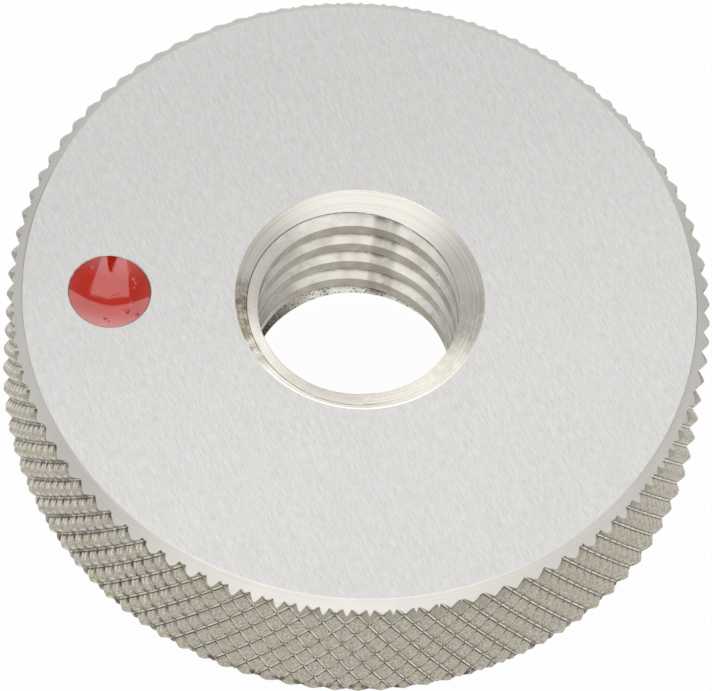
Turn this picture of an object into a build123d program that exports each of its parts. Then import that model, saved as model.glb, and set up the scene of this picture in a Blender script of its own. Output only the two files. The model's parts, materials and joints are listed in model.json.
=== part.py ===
"""Not-go thread ring gauge for a 1/2-13 UNC screw: one knurled steel ring with a red spot in its face.

The origin is the centre of the lower face. +Z runs along the bore, towards the face with the red spot.
"""

from build123d import *
import os
from math import cos, floor, pi, radians, sin, tan

# Blank, in millimetres and degrees
outer_diameter = 38.0
thickness = 10.0
edge_chamfer = 0.85

# Thread, whose crests the bore follows
minor_diameter = 10.842
countersink_diameter = 13.38
countersink_rise = 28.0  # of its cone above the plane of the face

# Diamond knurl: two sets of helical grooves, rolled with a wheel each
knurl_depth = 0.36
right_grooves = 93
right_helix = 31.75
right_start = 0.75  # where its first groove crosses mid height, from +X
left_grooves = 97
left_helix = 28.75
left_start = -0.13

# Red spot: a flat-bottomed recess, filled with enamel that has sunk in the middle
spot_diameter = 4.4
spot_inset = 5.558  # of its centre from the outer surface
spot_angle = 185.036  # from +X
recess_depth = 0.9
enamel_below_face = 0.06
enamel_sag = 0.34

outer_radius = outer_diameter / 2
root_radius = outer_radius - knurl_depth
knurl_radius = outer_radius - knurl_depth / 2
mid_height = thickness / 2
# How far the points that close the uncut knurl lie beyond the faces
end_reach = thickness / 2
# Radians that a groove turns for each millimetre that it climbs
right_turn = tan(radians(right_helix)) / knurl_radius
left_turn = tan(radians(left_helix)) / knurl_radius


def ring_blank():
    """The turned ring before knurling: a chamfered rectangle with a countersunk bore, revolved."""
    face_radius = outer_radius - edge_chamfer
    bore_radius = minor_diameter / 2
    sink_radius = countersink_diameter / 2
    sink_depth = (sink_radius - bore_radius) * tan(radians(countersink_rise))
    section = Polyline(
        (bore_radius, sink_depth),
        (sink_radius, 0),
        (face_radius, 0),
        (outer_radius, edge_chamfer),
        (outer_radius, thickness - edge_chamfer),
        (face_radius, thickness),
        (sink_radius, thickness),
        (bore_radius, thickness - sink_depth),
        close=True,
    )
    return revolve(Plane.XZ * make_face(section), Axis.Z)


def on_ring(radius, angle, height):
    """A point at an angle from +X in radians and a height from the middle of the ring."""
    return (radius * cos(angle), radius * sin(angle), mid_height + height)


def crossing(right, left):
    """Angle and height at which two grooves, one from each set, cross. Halves give a diamond's middle."""
    right_angle = radians(right_start) + right * 2 * pi / right_grooves
    left_angle = radians(left_start) + left * 2 * pi / left_grooves
    height = (left_angle - right_angle) / (right_turn + left_turn)
    return right_angle + right_turn * height, height


def once_round(right, left):
    """The numbers of a crossing's two grooves, counted the same way on both sides of the start."""
    turns = right // right_grooves
    return right - turns * right_grooves, left - turns * left_grooves


def diamonds():
    """The first groove of each set beside every diamond that reaches between the ring's faces."""
    step = crossing(0, 1)[1] - crossing(0, 0)[1]
    for right in range(right_grooves):
        left = floor((-mid_height - crossing(right, 0)[1]) / step)
        while crossing(right + 1, left)[1] < mid_height:
            yield right, left
            left += 1


def triangle(*corners):
    return Face(Wire.make_polygon(corners))


def root_point(pair):
    return on_ring(root_radius, *crossing(*pair))


def knurled_bar():
    """A solid bar with the whole knurl, one flat-sided pyramid for each diamond.

    Its ragged ends lie beyond the ring's faces. A fan of triangles closes each.
    """
    facets = []
    open_edges = {}
    for right, left in diamonds():
        tip = on_ring(outer_radius, *crossing(right + 0.5, left + 0.5))
        around = [(right, left), (right + 1, left), (right + 1, left + 1), (right, left + 1)]
        around = [once_round(*pair) for pair in around]
        for start, end in zip(around, around[1:] + around[:1]):
            facets.append(triangle(root_point(start), root_point(end), tip))
            # Two diamonds that share an edge run along it in opposite directions
            if (end, start) in open_edges:
                del open_edges[end, start]
            else:
                open_edges[start, end] = crossing(*start)[1] > 0
    for (start, end), is_upper in open_edges.items():
        centre = (0, 0, thickness + end_reach if is_upper else -end_reach)
        facets.append(triangle(root_point(end), root_point(start), centre))
    return Solid(Shell(facets))


def spot_floor():
    """The plane of the recess's floor, centred under the spot."""
    return Plane(on_ring(outer_radius - spot_inset, radians(spot_angle), mid_height - recess_depth))


def marker_recess():
    return spot_floor() * extrude(Circle(spot_diameter / 2), recess_depth)


def marker_enamel():
    """A disc that fills the recess to just under the face, less the sphere that dishes its top."""
    rim_radius = spot_diameter / 2
    fill = recess_depth - enamel_below_face
    ball_radius = (rim_radius**2 + enamel_sag**2) / (2 * enamel_sag)
    disc = extrude(Circle(rim_radius), fill)
    ball = Pos(0, 0, fill - enamel_sag + ball_radius) * Sphere(ball_radius)
    return spot_floor() * (disc - ball)


def gauge_ring():
    return (ring_blank() & knurled_bar()) - marker_recess()


if __name__ == "__main__":
    os.makedirs("parts", exist_ok=True)
    export_step(gauge_ring(), "parts/gauge_ring.step")
    export_step(marker_enamel(), "parts/marker_enamel.step")
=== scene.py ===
"""Looks of a not-go thread ring gauge: a knurled steel ring, its screw thread and its red enamel spot."""

import json
from math import ceil, cos, hypot, pi, radians, sin, tan

import bmesh
import bpy
from mathutils import Matrix, Vector


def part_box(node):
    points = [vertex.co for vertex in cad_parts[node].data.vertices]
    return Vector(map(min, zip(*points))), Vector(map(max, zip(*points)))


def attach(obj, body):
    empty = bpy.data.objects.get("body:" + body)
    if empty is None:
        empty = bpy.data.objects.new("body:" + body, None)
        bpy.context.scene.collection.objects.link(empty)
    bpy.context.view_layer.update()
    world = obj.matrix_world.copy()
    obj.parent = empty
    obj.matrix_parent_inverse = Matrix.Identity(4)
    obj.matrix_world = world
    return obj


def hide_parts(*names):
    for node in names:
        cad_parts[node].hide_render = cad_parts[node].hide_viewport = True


bl_info = {
    "name": "Thread Ring Gauge",
    "version": (1, 0, 0),
    "blender": (4, 5, 0),
    "location": "3D View > Sidebar > Gauge",
    "description": "Builds a knurled not-go thread ring gauge with its finish and its studio",
    "category": "Object",
}

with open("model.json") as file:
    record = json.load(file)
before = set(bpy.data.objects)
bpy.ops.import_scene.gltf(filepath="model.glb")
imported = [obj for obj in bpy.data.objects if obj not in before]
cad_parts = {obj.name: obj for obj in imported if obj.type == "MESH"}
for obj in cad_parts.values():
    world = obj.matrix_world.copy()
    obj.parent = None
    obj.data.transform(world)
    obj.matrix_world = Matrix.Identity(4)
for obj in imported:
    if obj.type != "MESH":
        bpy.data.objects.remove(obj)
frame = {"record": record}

MM = 0.001
RING_LOW, RING_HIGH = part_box("gauge_ring")
SPOT_LOW, SPOT_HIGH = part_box("marker_enamel")
BORE = next(mount for mount in frame["record"]["mounts"] if mount["name"] == "thread_bore")

# The materials of the ring, in the order of its mesh's slots
FACE, CHAMFER, KNURL, SINK, THREAD = range(5)

# An edge that turns by more than this is sharp. The cones keep their even shading beside the narrow bevels
ROUNDED_LIMIT = radians(24)
CONE_LIMIT = radians(8)
ENAMEL_LIMIT = radians(40)

# Points nearer than this to a cut lie on it, and points nearer than this to each other are one
ON_CUT = 1e-9
SAME_POINT = 2e-7

# Burst bubbles in the enamel: X and Y from its middle, radius and depth, in millimetres
BUBBLES = (
    (1.04, -1.01, 0.18, 0.110),
    (0.84, -0.93, 0.09, 0.050),
    (-0.07, -1.60, 0.11, 0.070),
    (0.14, -1.75, 0.08, 0.050),
    (1.26, -0.41, 0.10, 0.060),
    (1.60, -1.22, 0.13, 0.080),
    (0.28, 0.03, 0.11, -0.045),
    (0.48, 0.16, 0.09, -0.045),
    (0.08, -0.12, 0.06, 0.030),
    (0.92, 1.44, 0.09, 0.050),
    (1.22, 1.02, 0.08, 0.050),
    (1.36, 0.80, 0.07, 0.040),
    (1.30, 0.55, 0.06, 0.030),
    (-1.15, 1.42, 0.08, 0.050),
)

# Kinds of node that come up often, and the settings that two of them always have here. A Mix node takes its
# colours in inputs 6 and 7 and gives their mix in output 2
MATH = "ShaderNodeMath"
VECTOR = "ShaderNodeVectorMath"
JOIN = "ShaderNodeCombineXYZ"
SPLIT = "ShaderNodeSeparateXYZ"
NOISE = "ShaderNodeTexNoise"
RANGE = "ShaderNodeMapRange"
SMOOTH = {"interpolation_type": "SMOOTHSTEP"}
MIX = "ShaderNodeMix"
COLOURED = {"data_type": "RGBA"}


def distance(name, description, default):
    """A length in metres, shown in the scene's units."""
    return bpy.props.FloatProperty(
        name=name, description=description, default=default, subtype="DISTANCE", unit="LENGTH", precision=5
    )


def angle(name, description, degrees):
    return bpy.props.FloatProperty(
        name=name, description=description, default=radians(degrees), subtype="ANGLE", unit="ROTATION"
    )


def colour(name, description, code):
    """A colour picker whose default is an sRGB hex value."""
    return bpy.props.FloatVectorProperty(
        name=name, description=description, default=linear(code)[:3], subtype="COLOR", min=0.0, max=1.0
    )


def linear(code):
    """An sRGB hex value such as #C8C4BC as a linear colour with alpha."""
    channels = [int(code[place : place + 2], 16) / 255 for place in (1, 3, 5)]
    return (*[c / 12.92 if c <= 0.04045 else ((c + 0.055) / 1.055) ** 2.4 for c in channels], 1.0)


class BlankSizes(bpy.types.PropertyGroup):
    radius: distance("Outer radius", "Radius over the worn tips of the knurl", 18.94 * MM)
    thickness: distance("Thickness", "From face to face", RING_HIGH.z - RING_LOW.z)
    chamfer: distance("Edge chamfer", "Width and height of the outer chamfers", 0.79 * MM)
    edge_break: distance("Edge break", "Half the width of the narrow bevel that a stone leaves", 0.03 * MM)
    sink_radius: distance("Countersink radius", "Radius of the countersink at the face", 6.69 * MM)
    sink_rise: angle("Countersink rise", "Angle of the countersink above the face's plane", 28.0)


class KnurlSizes(bpy.types.PropertyGroup):
    depth: distance("Depth", "From the tips to the bottoms of the grooves", 0.36 * MM)
    right_grooves: bpy.props.IntProperty(name="Right-hand grooves", description="Once round", default=93)
    left_grooves: bpy.props.IntProperty(name="Left-hand grooves", description="Once round", default=97)
    right_helix: angle("Right-hand helix", "Slant of these grooves from the axis", 31.75)
    left_helix: angle("Left-hand helix", "Slant of these grooves from the axis", 28.75)
    right_start: angle("Right-hand start", "Where a groove crosses mid height", 0.75)
    left_start: angle("Left-hand start", "Where a groove crosses mid height", -0.13)
    right_crown: bpy.props.FloatProperty(
        name="Right-hand crown", description="1 gives flat flanks, and more gives rounder tips", default=1.5
    )
    left_crown: bpy.props.FloatProperty(
        name="Left-hand crown", description="1 gives flat flanks, and more gives rounder tips", default=1.3
    )
    flat: bpy.props.FloatProperty(
        name="Groove bottom", description="Flat at a groove's bottom, as a share of its width", default=0.08
    )
    stray: angle("Stray", "How far the left-hand wheel ran behind, at most", 1.93)
    stray_at: angle("Stray at", "Where it ran the furthest behind", 24.0)
    bands: bpy.props.IntProperty(name="Bands", description="Bands of faces up each diamond", default=6)


class ThreadSizes(bpy.types.PropertyGroup):
    pitch: distance("Pitch", "From crest to crest: 13 threads to the inch", 25.4 / 13 * MM)
    crest_radius: distance("Crest radius", "Half the minor diameter", BORE["dims"]["r_mm"] * MM)
    root_radius: distance("Root radius", "Half the diameter at the bottom of the groove", 6.375 * MM)
    crest_width: distance("Crest width", "Width of the flat on the crest", 0.733 * MM)
    flank: angle("Flank angle", "Slope of each flank from square to the axis", 30.0)
    start: distance("Start", "Height above mid height of a crest's middle, at +X", 0.462 * MM)
    steps: bpy.props.IntProperty(name="Steps", description="Steps in each turn", default=144)


class SpotSizes(bpy.types.PropertyGroup):
    radius: distance("Radius", "Radius of the recess", (SPOT_HIGH.x - SPOT_LOW.x) / 2)
    x: distance("X", "Place of its middle", (SPOT_LOW.x + SPOT_HIGH.x) / 2)
    y: distance("Y", "Place of its middle", (SPOT_LOW.y + SPOT_HIGH.y) / 2)
    sag: distance("Sag", "How far the enamel has sunk in the middle", 0.34 * MM)
    edge_break: distance("Edge break", "Width of the bevel round the recess", 0.05 * MM)
    sides: bpy.props.IntProperty(name="Sides", description="Sides of the recess's circle", default=160)
    rings: bpy.props.IntProperty(name="Rings", description="Rings of faces across the enamel", default=56)


class GaugeColours(bpy.types.PropertyGroup):
    ground: colour("Ground face", "Steel ground with a fine wheel", "#E1E0DE")
    turned: colour("Turned chamfer", "Steel turned after knurling", "#ECE9E2")
    knurl: colour("Knurl", "Rolled steel, oiled and handled", "#C5BDAA")
    knurl_cool: colour("Knurl, cooler", "The same steel where less oil lies on it", "#C2BDB1")
    # Also the colour of the painted highlights on the knurl: groove bottoms, glints and flanks beside the
    # strokes
    burnish_and_highlight: colour("Groove bottoms", "Steel burnished by the wheels", "#EAE6DA")
    # Also the colour of painted shade: in the knurl's grooves, near the bench, in the thread and at the
    # countersink
    groove: colour("Groove dirt", "Oil and dust in the grooves", "#4E473B")
    # Also, a tenth brighter, the painted highlight on the thread's top turn
    sink: colour("Countersink", "Steel cut bright", "#EAE6DD")
    stain: colour("Stain", "Dried oil", "#7C6A48")
    flank: colour("Thread flank", "Lapped steel", "#DEDBD3")
    crest: colour("Thread crest", "Bored steel with an oil film", "#A69D8E")
    enamel: colour("Enamel", "Red signal enamel", "#C02008")


class StudioSizes(bpy.types.PropertyGroup):
    elevation: angle("Elevation", "Height of the camera above the horizon", 61.16)
    roll: angle("Roll", "Turn of the camera about its line of sight", 6.19)
    distance: distance("Distance", "From the camera to the ring's upper face", 0.644)
    pan_x: distance("Pan right", "Camera's shift across its line of sight", -0.214 * MM)
    pan_y: distance("Pan up", "Camera's shift across its line of sight", -2.496 * MM)
    lens: bpy.props.FloatProperty(name="Lens", description="Focal length in image widths", default=16.854)


def add(tree, kind, inputs=(), **settings):
    """Adds a node with its settings and its inputs, filled or linked by order or name. Gives its outputs."""
    made = tree.nodes.new(kind)
    for name, value in settings.items():
        setattr(made, name, value)
    named = inputs if isinstance(inputs, dict) else dict(enumerate(inputs))
    for key, value in named.items():
        if isinstance(value, bpy.types.NodeSocket):
            tree.links.new(value, made.inputs[key])
        else:
            made.inputs[key].default_value = value
    return made.outputs


def product(tree, first, *others):
    """Several values multiplied together."""
    for other in others:
        first = add(tree, MATH, (first, other), operation="MULTIPLY")[0]
    return first


def greatest(tree, first, *others):
    for other in others:
        first = add(tree, MATH, (first, other), operation="MAXIMUM")[0]
    return first


def new_tree(name, inputs):
    """A Geometry Nodes tree that makes a mesh, and the outputs that give its named inputs."""
    tree = bpy.data.node_groups.new(name, "GeometryNodeTree")
    tree.interface.new_socket("Geometry", in_out="INPUT", socket_type="NodeSocketGeometry")
    for title, value in inputs.items():
        kind = "NodeSocketInt" if isinstance(value, int) else "NodeSocketFloat"
        tree.interface.new_socket(title, in_out="INPUT", socket_type=kind)
    tree.interface.new_socket("Mesh", in_out="OUTPUT", socket_type="NodeSocketGeometry")
    return tree, add(tree, "NodeGroupInput")


def grown(tree, inputs, mesh, shape, count, place, steel):
    """Ends a tree with a real copy of the mesh, in its shape, at each place, and runs it to a plain mesh."""
    unit = add(tree, "GeometryNodeSetPosition", {"Geometry": mesh, "Position": shape})[0]
    points = add(tree, "GeometryNodePoints", {"Count": count, "Position": place})[0]
    copies = add(tree, "GeometryNodeInstanceOnPoints", {"Points": points, "Instance": unit})[0]
    real = add(tree, "GeometryNodeRealizeInstances", {"Geometry": copies})[0]
    painted = add(tree, "GeometryNodeSetMaterial", {"Geometry": real, "Material": steel})[0]
    add(tree, "NodeGroupOutput", {"Mesh": painted})
    holder = bpy.data.objects.new(tree.name, bpy.data.meshes.new(tree.name))
    bpy.context.scene.collection.objects.link(holder)
    modifier = holder.modifiers.new(tree.name, "NODES")
    modifier.node_group = tree
    for item in tree.interface.items_tree:
        if item.in_out == "INPUT" and item.name in inputs:
            modifier[item.identifier] = inputs[item.name]
    depsgraph = bpy.context.evaluated_depsgraph_get()
    sheet = bpy.data.meshes.new_from_object(holder.evaluated_get(depsgraph), depsgraph=depsgraph)
    bpy.data.objects.remove(holder)
    bpy.data.node_groups.remove(tree)
    return sheet


def knurl_sheet(blank, knurl, steel):
    """The knurl unrolled: X is the angle, Y the height above mid height and Z the radius.

    One diamond is instanced at every place where a gap of one set of grooves crosses a gap of the other.
    """
    mean_radius = blank.radius - knurl.depth / 2
    right_turn = tan(knurl.right_helix) / mean_radius
    left_turn = tan(knurl.left_helix) / mean_radius
    both = right_turn + left_turn
    step = 2 * pi / knurl.left_grooves / both
    values = {
        "Right Gap": 2 * pi / knurl.right_grooves,
        "Left Gap": 2 * pi / knurl.left_grooves,
        "Right Start": knurl.right_start,
        "Left Start": knurl.left_start,
        "Right Turn": right_turn,
        "Both Turns": both,
        "Columns": knurl.right_grooves,
        "Rows": ceil(blank.thickness / step) + 3,
        "Lowest": -blank.thickness / 2 - step,
        "Radius": blank.radius,
        "Depth": knurl.depth,
        "Right Crown": knurl.right_crown,
        "Left Crown": knurl.left_crown,
        "Flat": knurl.flat,
        "Bands": knurl.bands,
    }
    tree, given = new_tree("knurl_sheet", values)
    number = add(tree, "GeometryNodeInputIndex")[0]
    right = add(tree, MATH, (number, given["Columns"]), operation="MODULO")[0]
    row = add(tree, MATH, (number, given["Columns"]), operation="DIVIDE")[0]
    row = add(tree, MATH, (row,), operation="FLOOR")[0]
    right_angle = (right, given["Right Gap"], given["Right Start"])
    right_angle = add(tree, MATH, right_angle, operation="MULTIPLY_ADD")[0]
    # The lowest left-hand groove that this right-hand groove needs, counted from the left-hand start
    left = (given["Lowest"], given["Both Turns"], right_angle)
    left = add(tree, MATH, left, operation="MULTIPLY_ADD")[0]
    left = add(tree, MATH, (left, given["Left Start"]), operation="SUBTRACT")[0]
    left = add(tree, MATH, (left, given["Left Gap"]), operation="DIVIDE")[0]
    left = add(tree, MATH, (left,), operation="FLOOR")[0]
    left = add(tree, MATH, (left, row), operation="ADD")[0]
    # The middle of a diamond lies half a gap on from its first groove of each set
    left = add(tree, MATH, (left, 0.5), operation="ADD")[0]
    left_middle = (left, given["Left Gap"], given["Left Start"])
    left_middle = add(tree, MATH, left_middle, operation="MULTIPLY_ADD")[0]
    right_middle = add(tree, MATH, (given["Right Gap"], 0.5, right_angle), operation="MULTIPLY_ADD")[0]
    height = add(tree, MATH, (left_middle, right_middle), operation="SUBTRACT")[0]
    height = add(tree, MATH, (height, given["Both Turns"]), operation="DIVIDE")[0]
    turned = add(tree, MATH, (height, given["Right Turn"], right_middle), operation="MULTIPLY_ADD")[0]
    place = add(tree, JOIN, (turned, height, given["Radius"]))[0]
    count = product(tree, given["Columns"], given["Rows"])

    # A cone of four sides gives the rings of one diamond. Its lowest ring is the flat beside the grooves
    cone = {
        "Vertices": 4,
        "Side Segments": given["Bands"],
        "Radius Top": 0.0,
        "Radius Bottom": 1.0,
        "Depth": 1.0,
    }
    diamond = add(tree, "GeometryNodeMeshCone", cone, fill_type="NONE")["Mesh"]
    x, y, _ = add(tree, SPLIT, (add(tree, "GeometryNodeInputPosition")[0],))
    across = add(tree, MATH, (x,), operation="ABSOLUTE")[0]
    along = add(tree, MATH, (y,), operation="ABSOLUTE")[0]
    out = add(tree, MATH, (across, along), operation="ADD")[0]
    sloped = add(tree, MATH, (given["Bands"], 1.0), operation="SUBTRACT")[0]
    sloped = add(tree, MATH, (sloped, given["Bands"]), operation="DIVIDE")[0]
    share = add(tree, MATH, (out, sloped), operation="DIVIDE")[0]
    share = add(tree, MATH, (share, 1.0), operation="MINIMUM")[0]
    fall = add(tree, MATH, (share, 1.5), operation="POWER")[0]
    rim = add(tree, MATH, (sloped, 0.5, 0.5), operation="MULTIPLY_ADD")[0]
    at_rim = add(tree, MATH, (out, rim), operation="GREATER_THAN")[0]
    side = add(tree, MATH, (1.0, given["Flat"]), operation="SUBTRACT")[0]
    offsets = []
    for hand, operation in (("Right", "SUBTRACT"), ("Left", "ADD")):
        power = add(tree, MATH, (1.0, given[hand + " Crown"]), operation="DIVIDE")[0]
        reach = add(tree, MATH, (fall, power), operation="POWER")[0]
        reach = greatest(tree, product(tree, reach, side), at_rim)
        sign = add(tree, MATH, (x, y), operation=operation)[0]
        sign = add(tree, MATH, (sign,), operation="SIGN")[0]
        half_gap = product(tree, given[hand + " Gap"], 0.5)
        offsets.append(product(tree, sign, reach, half_gap))
    up = add(tree, MATH, (offsets[1], offsets[0]), operation="SUBTRACT")[0]
    up = add(tree, MATH, (up, given["Both Turns"]), operation="DIVIDE")[0]
    round_axis = add(tree, MATH, (up, given["Right Turn"], offsets[0]), operation="MULTIPLY_ADD")[0]
    shape = add(tree, JOIN, (round_axis, up, product(tree, fall, given["Depth"], -1.0)))[0]
    sheet = grown(tree, values, diamond, shape, count, place, steel)

    # The left-hand grooves fall behind on one side, where their wheel slipped, and the others stay
    for vertex in sheet.vertices:
        turn, height, radius = vertex.co
        right_angle = turn - right_turn * height
        left_angle = turn + left_turn * height
        left_angle -= knurl.stray * (0.5 + 0.5 * cos(left_angle - knurl.stray_at)) ** 4
        height = (left_angle - right_angle) / both
        vertex.co = (right_angle + right_turn * height, height, radius)
    return sheet


def thread_sheet(blank, thread, steel):
    """The thread unrolled as the knurl is: one turn of the profile, instanced on up the straight helix."""
    half_crest = thread.crest_width / 2
    flank_width = (thread.root_radius - thread.crest_radius) * tan(thread.flank)
    values = {
        "Pitch": thread.pitch,
        "Crest Radius": thread.crest_radius,
        "Root Radius": thread.root_radius,
        "Half Crest": half_crest,
        "Foot": half_crest + flank_width,
        "Start": thread.start,
        "Turns": ceil(blank.thickness / thread.pitch) + 3,
        "Steps": thread.steps + 1,
    }
    tree, given = new_tree("thread_sheet", values)
    # Six lines across: groove middle, foot, crest edge, crest edge, foot, groove middle
    last_line = 5
    grid = {"Size X": 1.0, "Size Y": 1.0, "Vertices X": given["Steps"], "Vertices Y": last_line + 1}
    profile = add(tree, "GeometryNodeMeshGrid", grid)["Mesh"]
    x, y, _ = add(tree, SPLIT, (add(tree, "GeometryNodeInputPosition")[0],))
    line = add(tree, MATH, (y, 0.5), operation="ADD")[0]
    line = add(tree, MATH, (product(tree, line, last_line),), operation="ROUND")[0]
    line = add(tree, MATH, (line, last_line / 2), operation="SUBTRACT")[0]
    from_middle = add(tree, MATH, (line,), operation="ABSOLUTE")[0]
    side = add(tree, MATH, (line,), operation="SIGN")[0]
    past_crest = add(tree, MATH, (from_middle, 1.0), operation="GREATER_THAN")[0]
    past_foot = add(tree, MATH, (from_middle, 2.0), operation="GREATER_THAN")[0]
    to_foot = add(tree, MATH, (given["Foot"], given["Half Crest"]), operation="SUBTRACT")[0]
    offset = add(tree, MATH, (past_crest, to_foot, given["Half Crest"]), operation="MULTIPLY_ADD")[0]
    to_middle = (given["Pitch"], 0.5, product(tree, given["Foot"], -1.0))
    to_middle = add(tree, MATH, to_middle, operation="MULTIPLY_ADD")[0]
    offset = add(tree, MATH, (past_foot, to_middle, offset), operation="MULTIPLY_ADD")[0]
    climb = add(tree, MATH, (x, given["Pitch"], given["Start"]), operation="MULTIPLY_ADD")[0]
    height = add(tree, MATH, (side, offset, climb), operation="MULTIPLY_ADD")[0]
    deep = add(tree, MATH, (given["Root Radius"], given["Crest Radius"]), operation="SUBTRACT")[0]
    radius = add(tree, MATH, (past_crest, deep, given["Crest Radius"]), operation="MULTIPLY_ADD")[0]
    shape = add(tree, JOIN, (product(tree, x, 2 * pi), height, radius))[0]
    # Each copy starts a whole turn and a pitch on from the one before, with the middle one at mid height
    middle = add(tree, MATH, (given["Turns"], 1.0), operation="SUBTRACT")[0]
    middle = product(tree, middle, 0.5)
    number = add(tree, "GeometryNodeInputIndex")[0]
    number = add(tree, MATH, (number, middle), operation="SUBTRACT")[0]
    place = add(tree, JOIN, (product(tree, number, 2 * pi), product(tree, number, given["Pitch"])))[0]
    return grown(tree, values, profile, shape, given["Turns"], place, steel)


def trimmed(sheet, plane_height, plane_radius, rise, slot):
    """The sheet cut off where it meets two cones, one at each face, and its faces put in a material slot.

    In the unrolled sheet a cone is a plane, through a height and a radius, that rises with the radius.
    """
    cut = bmesh.new()
    cut.from_mesh(sheet)
    for side in (1, -1):
        bmesh.ops.bisect_plane(
            cut,
            geom=cut.verts[:] + cut.edges[:] + cut.faces[:],
            dist=ON_CUT,
            plane_co=(0, side * plane_height, plane_radius),
            plane_no=(0, side, -rise),
            clear_outer=True,
        )
    for face in cut.faces:
        face.material_index = slot
    return cut


def rolled_into(ring, sheet, mid_height):
    """Rolls a trimmed sheet round the axis, adds it to the ring and gives the ring's open edges."""
    places = {}
    for vertex in sheet.verts:
        turn, height, radius = vertex.co
        places[vertex] = ring.verts.new((radius * cos(turn), radius * sin(turn), mid_height + height))
    faces = []
    for face in sheet.faces:
        made = ring.faces.new([places[vertex] for vertex in face.verts])
        made.material_index = face.material_index
        faces.append(made)
    loose = [vertex for vertex in places.values() if not vertex.link_faces]
    for vertex in loose:
        ring.verts.remove(vertex)
    # Each once, and in the same order at each run
    mine = list(dict.fromkeys(vertex for face in faces for vertex in face.verts))
    bmesh.ops.remove_doubles(ring, verts=mine, dist=SAME_POINT)
    sheet.free()
    return [edge for edge in ring.edges if edge.is_boundary]


def skirt(ring, edges, circles, slot):
    """Carries an open edge on through circles, each a radius and a height. Gives the last one's edges."""
    for radius, height in circles:
        outer = {}
        for edge in edges:
            for vertex in edge.verts:
                if vertex not in outer:
                    scale = radius / hypot(vertex.co.x, vertex.co.y)
                    outer[vertex] = ring.verts.new((vertex.co.x * scale, vertex.co.y * scale, height))
        following = []
        for edge in edges:
            start, end = edge.verts
            face = ring.faces.new((start, end, outer[end], outer[start]))
            face.material_index = slot
            following.append(ring.edges.get((outer[start], outer[end])))
        edges = following
    return edges


def circle_edges(ring, spot, radius, height):
    """A circle round the spot's middle: its vertices in order, and its edges."""
    verts = []
    for number in range(spot.sides):
        turn = 2 * pi * number / spot.sides
        verts.append(ring.verts.new((spot.x + radius * cos(turn), spot.y + radius * sin(turn), height)))
    edges = [ring.edges.new((verts[number - 1], verts[number])) for number in range(spot.sides)]
    return verts, edges


def recess(ring, spot, top, floor):
    """The wall and floor of the spot's recess. Gives the edges of its rim in the face."""
    upper, rim_edges = circle_edges(ring, spot, spot.radius + spot.edge_break, top)
    for height in (top - spot.edge_break, floor):
        lower, _ = circle_edges(ring, spot, spot.radius, height)
        for number in range(spot.sides):
            corners = (upper[number - 1], upper[number], lower[number], lower[number - 1])
            ring.faces.new(corners).material_index = SINK
        upper = lower
    ring.faces.new(upper).material_index = SINK
    return rim_edges


def flat_face(ring, edges):
    """Fills the flat between its outer edge, the countersink and any recess."""
    before = set(ring.faces)
    bmesh.ops.triangle_fill(ring, edges=edges, use_beauty=True, normal=(0, 0, 1))
    for face in ring.faces:
        if face not in before:
            face.material_index = FACE


def ring_mesh(settings, steels):
    """The ring: knurl and thread trimmed to the cones, then chamfers, countersinks and faces between."""
    blank, thread, spot = settings.blank, settings.thread, settings.spot
    middle = blank.thickness / 2
    ring = bmesh.new()
    sheet = knurl_sheet(blank, settings.knurl, steels[KNURL])
    knurled = trimmed(sheet, middle - blank.chamfer, blank.radius, -1.0, KNURL)
    outer = rolled_into(ring, knurled, middle)
    known = set(outer)
    sheet = thread_sheet(blank, thread, steels[THREAD])
    threaded = trimmed(sheet, middle, blank.sink_radius, tan(blank.sink_rise), THREAD)
    inner = [edge for edge in rolled_into(ring, threaded, middle) if edge not in known]
    tiny = blank.edge_break
    rims = {True: [], False: []}
    for open_edges, radius, outwards, slope, slot in (
        (outer, blank.radius - blank.chamfer, 1, 1.0, CHAMFER),
        (inner, blank.sink_radius, -1, tan(blank.sink_rise), SINK),
    ):
        for is_upper, face_height, inwards in ((True, blank.thickness, -1), (False, 0.0, 1)):
            edges = [edge for edge in open_edges if (edge.verts[0].co.z > middle) == is_upper]
            circles = (
                (radius + outwards * tiny, face_height + inwards * tiny * slope),
                (radius - outwards * tiny, face_height),
            )
            rims[is_upper] += skirt(ring, edges, circles, slot)
    rims[True] += recess(ring, spot, blank.thickness, SPOT_LOW.z)
    flat_face(ring, rims[True])
    flat_face(ring, rims[False])
    bmesh.ops.recalc_face_normals(ring, faces=ring.faces[:])
    for face in ring.faces:
        face.smooth = face.material_index != FACE
    for edge in ring.edges:
        is_rounded = any(face.material_index in (KNURL, THREAD) for face in edge.link_faces)
        limit = ROUNDED_LIMIT if is_rounded else CONE_LIMIT
        edge.smooth = edge.is_manifold and edge.calc_face_angle(0) < limit
    mesh = bpy.data.meshes.new("knurled_ring")
    ring.to_mesh(mesh)
    ring.free()
    for steel in steels:
        mesh.materials.append(steel)
    return mesh


def enamel_height(spot, x, y):
    """The top of the enamel: a dish drawn up at the wall, with burst bubbles and a few specks of dust."""
    share = hypot(x, y) / spot.radius
    height = SPOT_HIGH.z - spot.sag * (1 - share**2.4)
    for bubble_x, bubble_y, radius, depth in BUBBLES:
        away = hypot(x - bubble_x * MM, y - bubble_y * MM) / (radius * MM)
        if away < 1:
            height -= depth * MM * (1 - away * away) ** 2
    return min(height, SPOT_HIGH.z)


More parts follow.
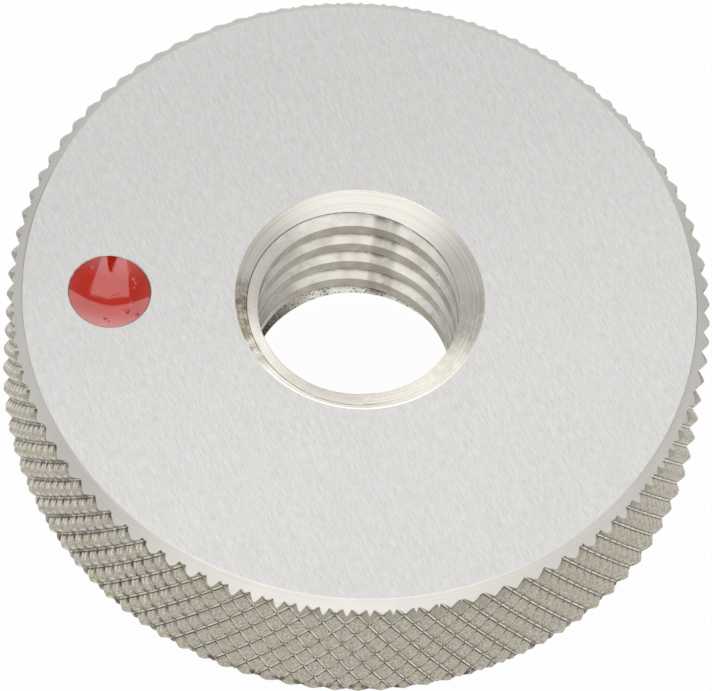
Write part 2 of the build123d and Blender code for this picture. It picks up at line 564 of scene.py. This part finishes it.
def enamel_mesh(spot):
    """A disc of enamel with a smooth dished top."""
    body = bmesh.new()
    previous = [body.verts.new((spot.x, spot.y, enamel_height(spot, 0, 0)))]
    for number in range(1, spot.rings + 1):
        radius = spot.radius * number / spot.rings
        current = []
        for side in range(spot.sides):
            turn = 2 * pi * side / spot.sides
            x = radius * cos(turn)
            y = radius * sin(turn)
            current.append(body.verts.new((spot.x + x, spot.y + y, enamel_height(spot, x, y))))
        for side in range(spot.sides):
            if len(previous) == 1:
                body.faces.new((previous[0], current[side - 1], current[side]))
            else:
                body.faces.new((previous[side - 1], current[side - 1], current[side], previous[side]))
        previous = current
    low = [body.verts.new((vertex.co.x, vertex.co.y, SPOT_LOW.z)) for vertex in previous]
    for side in range(spot.sides):
        body.faces.new((previous[side - 1], low[side - 1], low[side], previous[side]))
    body.faces.new(low)
    bmesh.ops.recalc_face_normals(body, faces=body.faces[:])
    for face in body.faces:
        face.smooth = True
    for edge in body.edges:
        edge.smooth = edge.calc_face_angle(0) < ENAMEL_LIMIT
    mesh = bpy.data.meshes.new("spot_enamel")
    body.to_mesh(mesh)
    body.free()
    return mesh


def new_material(name):
    """A material and its emptied tree."""
    made = bpy.data.materials.new(name)
    made.use_nodes = True
    made.node_tree.nodes.clear()
    return made, made.node_tree


def end_material(tree, inputs, height, strength, depth):
    """Ends a material's tree: a bump of a depth in metres, and a Principled shader with these inputs."""
    bump = add(tree, "ShaderNodeBump", {"Strength": strength, "Distance": depth, "Height": height})[0]
    surface = add(tree, "ShaderNodeBsdfPrincipled", {"Normal": bump, **inputs})[0]
    add(tree, "ShaderNodeOutputMaterial", {"Surface": surface})


def rgba(colour, share=1.0):
    """A picked colour with alpha, made darker or lighter by a share."""
    return (*[channel * share for channel in colour], 1.0)


def layered(tree, base, *layers):
    """A colour with others laid over it in turn, each given as its share and itself."""
    for share, colour in layers:
        base = add(tree, MIX, {"Factor": share, 6: base, 7: colour}, **COLOURED)[2]
    return base


def mask(tree, *parts):
    """Shares multiplied together.

    A part is a share, or a value with the ends of the range that it is graded over, and with what it gives at
    each end where that isn't 0 and 1.
    """
    shares = [add(tree, RANGE, part, **SMOOTH)[0] if isinstance(part, tuple) else part for part in parts]
    return product(tree, *shares)


def around_axis(tree):
    """The place on the object in metres, and its radius, height and angle in radians."""
    point = add(tree, "ShaderNodeTexCoord")["Object"]
    x, y, height = add(tree, SPLIT, (point,))
    radius = add(tree, MATH, (x, x, product(tree, y, y)), operation="MULTIPLY_ADD")[0]
    radius = add(tree, MATH, (radius,), operation="SQRT")[0]
    turn = add(tree, MATH, (y, x), operation="ARCTAN2")[0]
    return point, radius, height, turn


def facing(tree, turn, degrees, none, full):
    """How well an angle round the axis matches a direction: 0 at the first cosine and 1 at the second."""
    away = add(tree, MATH, (turn, radians(degrees)), operation="SUBTRACT")[0]
    away = add(tree, MATH, (away,), operation="COSINE")[0]
    return mask(tree, (away, none, full))


def ground_steel(colours):
    """Hardened steel, surface ground: straight lay lines slant across a satin face and catch the light."""
    made, tree = new_material("ground_steel")
    point = add(tree, "ShaderNodeTexCoord")["Object"]
    lay = {"Vector": point, "Angle": radians(-119.3)}
    lay = add(tree, "ShaderNodeVectorRotate", lay, rotation_type="Z_AXIS")[0]
    # The grit's lines are about 0.02 mm wide; they are drawn near 0.1 mm wide, so that they show
    fine = add(tree, VECTOR, (lay, (1.8 / MM, 15.0 / MM, 0.0)), operation="MULTIPLY")[0]
    fine = add(tree, NOISE, {"Vector": fine, "Scale": 1.0, "Detail": 3.0, "Roughness": 0.6})[0]
    long = add(tree, VECTOR, (lay, (0.3 / MM, 4.0 / MM, 0.0)), operation="MULTIPLY")[0]
    long = add(tree, NOISE, {"Vector": long, "Scale": 1.0, "Detail": 2.0, "Roughness": 0.55})[0]
    lines = add(tree, MATH, (fine, 0.8, product(tree, long, 0.2)), operation="MULTIPLY_ADD")[0]
    # Painted shade darkens it towards +Y, and half as much towards -X
    x, y, _ = add(tree, SPLIT, (point,))
    across = add(tree, MATH, (x, -0.5, y), operation="MULTIPLY_ADD")[0]
    level = mask(tree, (lines, 0.32, 0.68, 0.82, 1.0), (across, -12 * MM, 19 * MM, 1.0, 0.87))
    shade = add(tree, VECTOR, {0: tuple(colours.ground), "Scale": level}, operation="SCALE")[0]
    # Its gloss differs in clouds about 7 mm across
    cloud = add(tree, NOISE, {"Vector": point, "Scale": 0.15 / MM, "Detail": 3.0, "Roughness": 0.55})[0]
    rough = mask(tree, (cloud, 0.3, 0.7, 0.36, 0.40))
    end_material(tree, {"Metallic": 1.0, "Base Color": shade, "Roughness": rough}, lines, 0.3, 0.008 * MM)
    return made


def turned_steel(colours, blank):
    """Steel faced off with a turning tool: faint rings round the axis and a tight, bright sheen."""
    made, tree = new_material("turned_steel")
    point, radius, height, turn = around_axis(tree)
    # The tool's rings lie about 0.3 mm apart across the chamfer
    across = add(tree, MATH, (radius, height), operation="SUBTRACT")[0]
    rings = add(tree, JOIN, (product(tree, across, 3 / MM), turn))[0]
    rings = add(tree, NOISE, {"Vector": rings, "Scale": 1.0, "Detail": 1.0, "Roughness": 0.55})[0]
    # Painted shade darkens it away from the front
    _, y, _ = add(tree, SPLIT, (point,))
    level = mask(tree, (rings, 0.3, 0.7, 0.95, 1.0), (y, -8 * MM, 5 * MM, 1.0, 0.6))
    bright = add(tree, VECTOR, {0: tuple(colours.turned), "Scale": level}, operation="SCALE")[0]
    # The lower chamfer is darkened with painted shade near the bench
    bench_shade = mask(tree, (height, 0.95 * blank.chamfer, 0.5 * blank.chamfer, 0.0, 0.8))
    shade = layered(tree, bright, (bench_shade, rgba(colours.groove)))
    cloud = add(tree, NOISE, {"Vector": point, "Scale": 0.5 / MM, "Detail": 3.0, "Roughness": 0.55})[0]
    rough = mask(tree, (cloud, 0.3, 0.7, 0.24, 0.34))
    end_material(tree, {"Metallic": 1.0, "Base Color": shade, "Roughness": rough}, rings, 0.15, 0.006 * MM)
    return made


def groove_distances(tree, blank, knurl, height, turn):
    """How far a place on the knurl lies from each set's grooves, in metres round the ring.

    The grooves are placed as the mesh's are.
    """
    mean_radius = blank.radius - knurl.depth / 2
    right_turn = -tan(knurl.right_helix) / mean_radius
    left_turn = tan(knurl.left_helix) / mean_radius
    climb = add(tree, MATH, (height, blank.thickness / 2), operation="SUBTRACT")[0]
    right = add(tree, MATH, (climb, right_turn, turn), operation="MULTIPLY_ADD")[0]
    left = add(tree, MATH, (climb, left_turn, turn), operation="MULTIPLY_ADD")[0]
    lag = add(tree, MATH, (left, knurl.stray_at), operation="SUBTRACT")[0]
    lag = add(tree, MATH, (lag,), operation="COSINE")[0]
    lag = add(tree, MATH, (lag, 0.5, 0.5), operation="MULTIPLY_ADD")[0]
    lag = add(tree, MATH, (lag, 4.0), operation="POWER")[0]
    left = add(tree, MATH, (lag, knurl.stray, left), operation="MULTIPLY_ADD")[0]
    distances = []
    for turned, start, grooves in (
        (right, knurl.right_start, knurl.right_grooves),
        (left, knurl.left_start, knurl.left_grooves),
    ):
        gap = 2 * pi / grooves
        phase = add(tree, MATH, (turned, start), operation="SUBTRACT")[0]
        phase = add(tree, MATH, (phase, gap), operation="DIVIDE")[0]
        phase = add(tree, MATH, (phase, 0.5), operation="PINGPONG")[0]
        distances.append(product(tree, phase, gap * mean_radius))
    return distances


def rolled_steel(colours, blank, knurl):
    """Steel rolled with knurling wheels: mottled grey-brown, grooves painted bright between dark lines."""
    made, tree = new_material("rolled_steel")
    point, radius, height, turn = around_axis(tree)
    above = add(tree, MATH, (radius, blank.radius - knurl.depth), operation="SUBTRACT")[0]
    from_right, from_left = groove_distances(tree, blank, knurl, height, turn)
    # Pits and specks are about 0.1 mm across, patches of dirt 0.6 mm and changes of tint 1.1 mm
    grit = add(tree, NOISE, {"Vector": point, "Scale": 9.0 / MM, "Detail": 3.0, "Roughness": 0.65})[0]
    patch = add(tree, NOISE, {"Vector": point, "Scale": 1.6 / MM, "Detail": 3.0, "Roughness": 0.55})[0]
    tint = add(tree, NOISE, {"Vector": point, "Scale": 0.9 / MM, "Detail": 2.0, "Roughness": 0.55})[0]
    # On each side of the front one set's grooves get more painted shade, and both do where they cross
    crossed = mask(tree, (from_right, 0.5 * MM, 0.1 * MM), (from_left, 0.5 * MM, 0.1 * MM))
    right_shown = greatest(tree, facing(tree, turn, 215, 0.4, 0.95), crossed)
    left_shown = greatest(tree, facing(tree, turn, 325, 0.4, 0.95), crossed)
    shown = greatest(
        tree,
        mask(tree, (from_right, 0.2 * MM, 0.16 * MM), right_shown),
        mask(tree, (from_left, 0.2 * MM, 0.16 * MM), left_shown),
    )
    # The wheels' teeth have burnished the flat bottoms of the grooves, which carry a painted highlight
    bottom = mask(tree, (above, 0.012 * MM, 0.004 * MM), (patch, 0.35, 0.6, 0.1, 0.9))
    # Dust and painted shade lie at the foot of each wall
    foot = mask(
        tree,
        (above, 0.004 * MM, 0.012 * MM),
        (above, 0.065 * MM, 0.045 * MM),
        (shown, 0.0, 1.0, 0.3, 1.0),
        (patch, 0.3, 0.55, 0.5, 1.0),
    )
    # Painted shade darkens the dots where the grooves cross
    crossing_shade = mask(tree, (from_right, 0.1 * MM, 0.07 * MM), (from_left, 0.1 * MM, 0.07 * MM), 0.8)
    # Towards -X short strokes of painted shade hang in the left-hand grooves below each right-hand one
    stroke_shade = mask(
        tree,
        (from_left, 0.26 * MM, 0.10 * MM),
        (from_right, 0.62 * MM, 0.25 * MM),
        facing(tree, turn, 212, 0.7, 0.94),
        (patch, 0.35, 0.6, 0.2, 0.95),
    )
    # Painted shade also outlines the right-hand grooves towards -X
    outline_shade = mask(
        tree,
        (from_right, 0.2 * MM, 0.10 * MM),
        facing(tree, turn, 203, 0.8, 0.95),
        (patch, 0.38, 0.6, 0.15, 0.85),
    )
    # Beside each stroke the flank catches the light
    beside = mask(
        tree,
        (from_left, 0.26 * MM, 0.34 * MM),
        (from_left, 0.52 * MM, 0.44 * MM),
        (from_right, 0.6 * MM, 0.3 * MM),
        facing(tree, turn, 212, 0.75, 0.95),
        (patch, 0.6, 0.4, 0.3, 1.0),
    )
    # Near the bench painted shade fills more of each groove
    bench_groove_shade = mask(tree, (height, 1.2 * MM, 0.75 * MM), (above, 0.16 * MM, 0.10 * MM), (patch, 0.4, 0.6), 0.9)
    cooler = mask(tree, (tint, 0.40, 0.64))
    plain = layered(tree, rgba(colours.knurl), (cooler, rgba(colours.knurl_cool)))
    worn = layered(tree, rgba(colours.knurl, 0.58), (cooler, rgba(colours.knurl_cool, 0.58)))
    # The row of teeth at the chamfer is greyer
    shoulder = mask(tree, (height, 8.5 * MM, 9.0 * MM, 0.0, 0.55))
    # Painted glints speck the steel
    glint = mask(tree, (grit, 0.62, 0.68, 0.0, 0.8))
    shade = layered(
        tree,
        worn,
        (mask(tree, (grit, 0.37, 0.57)), plain),
        (shoulder, worn),
        (greatest(tree, bottom, glint, beside), rgba(colours.burnish_and_highlight)),
        (greatest(tree, foot, bench_groove_shade, crossing_shade, stroke_shade, outline_shade), rgba(colours.groove)),
    )
    rough = mask(tree, (grit, 0.3, 0.7, 0.3, 0.5))
    end_material(tree, {"Metallic": 1.0, "Base Color": shade, "Roughness": rough}, grit, 0.5, 0.016 * MM)
    return made


def countersunk_steel(colours, thread):
    """Steel cut with a countersink: bright rings, with oil dried brown on the side towards -X."""
    made, tree = new_material("countersunk_steel")
    point, radius, height, turn = around_axis(tree)
    # The cutter's rings lie about 0.1 mm apart
    rings = add(tree, JOIN, (product(tree, radius, 9 / MM), product(tree, turn, 0.3)))[0]
    rings = add(tree, NOISE, {"Vector": rings, "Scale": 1.0, "Detail": 3.0, "Roughness": 0.65})[0]
    smear = add(tree, NOISE, {"Vector": point, "Scale": 1.9 / MM, "Detail": 5.0, "Roughness": 0.7})[0]
    left = facing(tree, turn, 199, 0.86, 0.985)
    right = product(tree, facing(tree, turn, 345, 0.80, 0.98), 0.33)
    oiled = mask(tree, greatest(tree, left, right), (smear, 0.36, 0.58, 0.25, 1.0), 0.82)
    # A hairline of painted shade lies where the thread breaks out of the upper countersink. Its radius grows
    # round the helix, from the crest's at +X to the root's at -Y
    line_radius = add(tree, MATH, (turn, 2 * pi), operation="FLOORED_MODULO")[0]
    line_radius = add(tree, MATH, (line_radius, 0.280 * MM, 5.13 * MM), operation="MULTIPLY_ADD")[0]
    line_radius = greatest(tree, line_radius, thread.crest_radius)
    line_radius = add(tree, MATH, (line_radius, 6.37 * MM), operation="MINIMUM")[0]
    off_line = add(tree, MATH, (radius, line_radius), operation="SUBTRACT")[0]
    off_line = add(tree, MATH, (off_line,), operation="ABSOLUTE")[0]
    break_out_shade = mask(
        tree,
        (off_line, 0.075 * MM, 0.035 * MM),
        (height, 5 * MM, 6 * MM),
        facing(tree, turn, 160, -0.75, -0.3),
        (smear, 0.3, 0.5, 0.4, 1.0),
        0.8,
    )
    shade = layered(
        tree,
        rgba(colours.sink, 0.88),
        (mask(tree, (rings, 0.35, 0.62)), rgba(colours.sink)),
        (oiled, rgba(colours.stain)),
        (break_out_shade, rgba(colours.groove)),
    )
    rough = mask(tree, (rings, 0.3, 0.7, 0.22, 0.34))
    end_material(tree, {"Metallic": 1.0, "Base Color": shade, "Roughness": rough}, rings, 0.3, 0.014 * MM)
    return made


def threaded_steel(colours, thread):
    """Steel threaded and lapped: pale flanks, and crests and roots darkened by oil, grit and painted shade.
    """
    made, tree = new_material("threaded_steel")
    point, radius, height, turn = around_axis(tree)
    above = add(tree, MATH, (radius, thread.crest_radius), operation="SUBTRACT")[0]
    # The film is patchy over about 1 mm, and the grit in it is about 0.1 mm across
    film = add(tree, NOISE, {"Vector": point, "Scale": 0.9 / MM, "Detail": 4.0, "Roughness": 0.6})[0]
    grit = add(tree, NOISE, {"Vector": point, "Scale": 10.0 / MM, "Detail": 2.0, "Roughness": 0.5})[0]
    # The top turn is painted as bright as the countersink: a painted highlight
    top_turn_highlight = mask(tree, (height, 8.4 * MM, 9.0 * MM))
    thin_film = mask(tree, (film, 0.45, 0.8, 0.0, 0.3))
    # The crests are darker to the sides than at +Y: painted shade over their oil film
    crest = layered(tree, rgba(colours.crest, 0.6), (facing(tree, turn, 95, 0.2, 0.95), rgba(colours.crest)))
    on_crest = mask(tree, (above, 0.03 * MM, 0.008 * MM), (film, 0.2, 0.6, 0.75, 1.0))
    # A dark streak runs down the flanks on one side, where oil has drained into the roots
    streak = mask(
        tree,
        facing(tree, turn, 80, 0.989, 0.997),
        (radius, 5.6 * MM, 6.1 * MM, 0.35, 1.0),
        (film, 0.33, 0.52, 0.3, 0.95),
    )
    # Painted shade, patchy with grit, lies in the roots, but for the top turn
    root_shade = mask(
        tree,
        (radius, 5.74 * MM, 6.0 * MM, 0.0, 0.9),
        (height, 8.6 * MM, 8.0 * MM),
        (grit, 0.35, 0.6, 0.55, 1.0),
    )
    # Grit has gathered at the lower end, with painted shade towards -X
    low = mask(tree, (height, 1.9 * MM, 1.0 * MM))
    specks = add(tree, MATH, (low, 0.13, grit), operation="MULTIPLY_ADD")[0]
    specks = mask(tree, (specks, 0.71, 0.75), 0.9)
    deep_shade = mask(tree, low, (grit, 0.3, 0.6, 0.4, 0.95), facing(tree, turn, 176, 0.5, 0.98))
    shade = layered(
        tree,
        rgba(colours.flank),
        (top_turn_highlight, rgba(colours.sink, 1.1)),
        (thin_film, rgba(colours.crest)),
        (on_crest, crest),
        (streak, rgba(colours.crest, 0.45)),
        (greatest(tree, root_shade, specks, deep_shade), rgba(colours.groove)),
    )
    rough = mask(tree, (film, 0.3, 0.7, 0.26, 0.4))
    end_material(tree, {"Metallic": 1.0, "Base Color": shade, "Roughness": rough}, grit, 0.2, 0.01 * MM)
    return made


def red_enamel(colours, spot):
    """Air-drying enamel dropped in with a brush: a wet gloss over a strong red, darker at the wall."""
    made, tree = new_material("red_enamel")
    point = add(tree, "ShaderNodeTexCoord")["Object"]
    # It has flowed out in waves about 2 mm long
    flow = add(tree, NOISE, {"Vector": point, "Scale": 0.5 / MM, "Detail": 1.0, "Roughness": 0.4})[0]
    middle = (spot.x, spot.y, SPOT_HIGH.z)
    from_middle = add(tree, VECTOR, (point, middle), operation="DISTANCE")["Value"]
    at_wall = mask(tree, (from_middle, spot.radius - 0.08 * MM, spot.radius - 0.02 * MM, 0.0, 0.5))
    gloss = {"Roughness": 0.05, "IOR": 1.5, "Coat Weight": 1.0, "Coat IOR": 1.6, "Coat Roughness": 0.03}
    shade = layered(
        tree,
        rgba(colours.enamel, 0.85),
        (mask(tree, (flow, 0.35, 0.65)), rgba(colours.enamel)),
        (at_wall, rgba(colours.enamel, 0.25)),
    )
    end_material(tree, {"Base Color": shade, **gloss}, flow, 0.5, 0.1 * MM)
    return made


def placed(mesh, name, node):
    """Puts a finished mesh in the scene in place of a node of the frame."""
    piece = bpy.data.objects.new(name, mesh)
    bpy.context.scene.collection.objects.link(piece)
    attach(piece, "root")
    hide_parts(node)


class GAUGE_OT_ring(bpy.types.Operator):
    """Build the steel ring with its knurl, chamfers, countersinks and thread"""

    bl_idname = "gauge.ring"
    bl_label = "Build Ring"

    def execute(self, context):
        settings = context.scene.gauge
        colours = settings.colours
        steels = (
            ground_steel(colours),
            turned_steel(colours, settings.blank),
            rolled_steel(colours, settings.blank, settings.knurl),
            countersunk_steel(colours, settings.thread),
            threaded_steel(colours, settings.thread),
        )
        placed(ring_mesh(settings, steels), "knurled_ring", "gauge_ring")
        return {"FINISHED"}


class GAUGE_OT_spot(bpy.types.Operator):
    """Fill the recess in the upper face with red enamel"""

    bl_idname = "gauge.spot"
    bl_label = "Build Red Spot"

    def execute(self, context):
        settings = context.scene.gauge
        mesh = enamel_mesh(settings.spot)
        mesh.materials.append(red_enamel(settings.colours, settings.spot))
        placed(mesh, "spot_enamel", "marker_enamel")
        return {"FINISHED"}


def add_camera(studio, centre):
    """A long lens, rolled a little, that looks down on the ring as the photograph does."""
    back = Vector((0, -cos(studio.elevation), sin(studio.elevation)))
    level_up = Vector((0, sin(studio.elevation), cos(studio.elevation)))
    level_right = Vector((1, 0, 0))
    right = cos(studio.roll) * level_right + sin(studio.roll) * level_up
    up = cos(studio.roll) * level_up - sin(studio.roll) * level_right
    data = bpy.data.cameras.new("camera")
    data.sensor_width = 36.0
    data.lens = studio.lens * data.sensor_width
    data.clip_start = 0.01
    data.clip_end = 20.0
    camera = bpy.data.objects.new("camera", data)
    turn = Matrix((right, up, back)).transposed()
    camera.matrix_world = turn.to_4x4()
    camera.location = centre + back * studio.distance + right * studio.pan_x + up * studio.pan_y
    bpy.context.scene.collection.objects.link(camera)
    bpy.context.scene.camera = camera


def behind(rise, away, x=0.0):
    """A place behind the ring, at an angle above the horizon and a distance from the origin."""
    return Vector((0, cos(rise), sin(rise))) * away + Vector((x, 0, 0))


def add_softbox(name, low, high, away, width, level, x=0.0):
    """A soft box behind the ring that reaches from one angle above the horizon to another, evenly bright."""
    data = bpy.data.lights.new(name, "AREA")
    data.shape = "RECTANGLE"
    data.size = width
    data.size_y = 2 * away * tan((high - low) / 2)
    # A lamp of this power looks as bright as a white surface times the level
    data.energy = level * pi * data.size * data.size_y
    lamp = bpy.data.objects.new(name, data)
    lamp.location = behind((low + high) / 2, away, x)
    lamp.rotation_mode = "QUATERNION"
    lamp.rotation_quaternion = behind((low + high) / 2, away).to_track_quat("Z", "Y")
    bpy.context.scene.collection.objects.link(lamp)


def stage_sheet(name, corners, material):
    """A flat sheet of the stage."""
    mesh = bpy.data.meshes.new(name)
    mesh.from_pydata(corners, [], [tuple(range(len(corners)))])
    mesh.materials.append(material)
    sheet = bpy.data.objects.new(name, mesh)
    bpy.context.scene.collection.objects.link(sheet)
    return sheet


def add_lamp_arm():
    """The arm that holds the top box, which shows in the enamel as a dark wedge but not to a camera above."""
    made, tree = new_material("black_paint")
    paint = {"Base Color": linear("#1C1C1C"), "Roughness": 0.6}
    surface = add(tree, "ShaderNodeBsdfPrincipled", paint)[0]
    add(tree, "ShaderNodeOutputMaterial", {"Surface": surface})
    away = 0.56
    foot = behind(radians(81.5), away, -0.018)
    head = behind(radians(106), away, -0.005)
    half_foot = Vector((0.012, 0, 0))
    half_head = Vector((0.062, 0, 0))
    corners = [foot - half_foot, foot + half_foot, head + half_head, head - half_head]
    arm = stage_sheet("lamp_arm", corners, made)
    arm.visible_camera = False


def add_floor():
    """A white sheet of paper that the camera and the steel both see as white, but for the ring's shadow."""
    reach = 3.0
    below = -0.01 * MM
    corners = [(x * reach, y * reach, below) for x, y in ((-1, -1), (1, -1), (1, 1), (-1, 1))]
    made, tree = new_material("white_paper")
    paper = add(tree, "ShaderNodeBsdfDiffuse", {"Color": linear("#F4F4F2")})[0]
    glow = add(tree, "ShaderNodeEmission", {"Color": linear("#FFFFFF"), "Strength": 1.0})[0]
    rays = add(tree, "ShaderNodeLightPath")
    seen = greatest(tree, rays["Is Camera Ray"], rays["Is Glossy Ray"], rays["Is Transmission Ray"])
    mixed = add(tree, "ShaderNodeMixShader", (product(tree, seen, 0.97), paper, glow))[0]
    add(tree, "ShaderNodeOutputMaterial", {"Surface": mixed})
    stage_sheet("floor", corners, made)


def set_world():
    """A soft room, brighter to the sides and behind, with a big soft light over the photographer's head."""
    world = bpy.data.worlds.new("studio")
    bpy.context.scene.world = world
    world.use_nodes = True
    tree = world.node_tree
    tree.nodes.clear()
    heading = add(tree, "ShaderNodeTexCoord")["Generated"]
    x, y, _ = add(tree, SPLIT, (heading,))
    sideways = add(tree, MATH, (x,), operation="ABSOLUTE")[0]
    overhead = add(tree, VECTOR, (heading, (0.0, -0.6, 0.8)), operation="DOT_PRODUCT")["Value"]
    # A pale wall to the right lights the chamfer on that side
    wall = add(tree, VECTOR, (heading, (0.8, -0.3, 0.5)), operation="DOT_PRODUCT")["Value"]
    level = mask(tree, (overhead, 0.55, 0.96, 0.22, 1.19))
    for more in ((sideways, 0.3, 0.8, 0.0, 0.38), (y, 0.65, 0.95, 0.0, 0.9), (wall, 0.85, 1.0, 0.0, 0.18)):
        level = add(tree, MATH, (level, mask(tree, more)), operation="ADD")[0]
    room = add(tree, "ShaderNodeBackground", {"Color": linear("#FFFFFF"), "Strength": level})[0]
    add(tree, "ShaderNodeOutputWorld", {"Surface": room})


class GAUGE_OT_stage(bpy.types.Operator):
    """Set up the floor, the soft light and the camera"""

    bl_idname = "gauge.stage"
    bl_label = "Build Stage"

    def execute(self, context):
        settings = context.scene.gauge
        add_camera(settings.studio, Vector((0, 0, settings.blank.thickness)))
        add_softbox("top_box", radians(60), radians(100), away=0.6, width=0.27, level=1.2, x=-0.03)
        add_softbox("back_box", radians(20), radians(54), away=0.7, width=1.0, level=1.14)
        add_lamp_arm()
        add_floor()
        set_world()
        context.scene.view_settings.view_transform = "Standard"
        return {"FINISHED"}


class GaugeSettings(bpy.types.PropertyGroup):
    blank: bpy.props.PointerProperty(type=BlankSizes)
    knurl: bpy.props.PointerProperty(type=KnurlSizes)
    thread: bpy.props.PointerProperty(type=ThreadSizes)
    spot: bpy.props.PointerProperty(type=SpotSizes)
    colours: bpy.props.PointerProperty(type=GaugeColours)
    studio: bpy.props.PointerProperty(type=StudioSizes)


class GAUGE_PT_panel(bpy.types.Panel):
    """Sizes, colours and build buttons of the gauge"""

    bl_label = "Thread Ring Gauge"
    bl_space_type = "VIEW_3D"
    bl_region_type = "UI"
    bl_category = "Gauge"

    def draw(self, context):
        settings = context.scene.gauge
        for operator in (GAUGE_OT_ring, GAUGE_OT_spot, GAUGE_OT_stage):
            self.layout.operator(operator.bl_idname)
        for title in ("blank", "knurl", "thread", "spot", "colours", "studio"):
            box = self.layout.box()
            box.label(text=title.capitalize())
            group = getattr(settings, title)
            for name in group.__annotations__:
                box.prop(group, name)


CLASSES = (
    BlankSizes,
    KnurlSizes,
    ThreadSizes,
    SpotSizes,
    GaugeColours,
    StudioSizes,
    GaugeSettings,
    GAUGE_OT_ring,
    GAUGE_OT_spot,
    GAUGE_OT_stage,
    GAUGE_PT_panel,
)


def register():
    for each in CLASSES:
        bpy.utils.register_class(each)
    bpy.types.Scene.gauge = bpy.props.PointerProperty(type=GaugeSettings)


def unregister():
    del bpy.types.Scene.gauge
    for each in reversed(CLASSES):
        bpy.utils.unregister_class(each)


def main():
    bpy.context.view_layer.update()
    register()
    bpy.ops.gauge.ring()
    bpy.ops.gauge.spot()
    bpy.ops.gauge.stage()


if __name__ == "__main__":
    main()
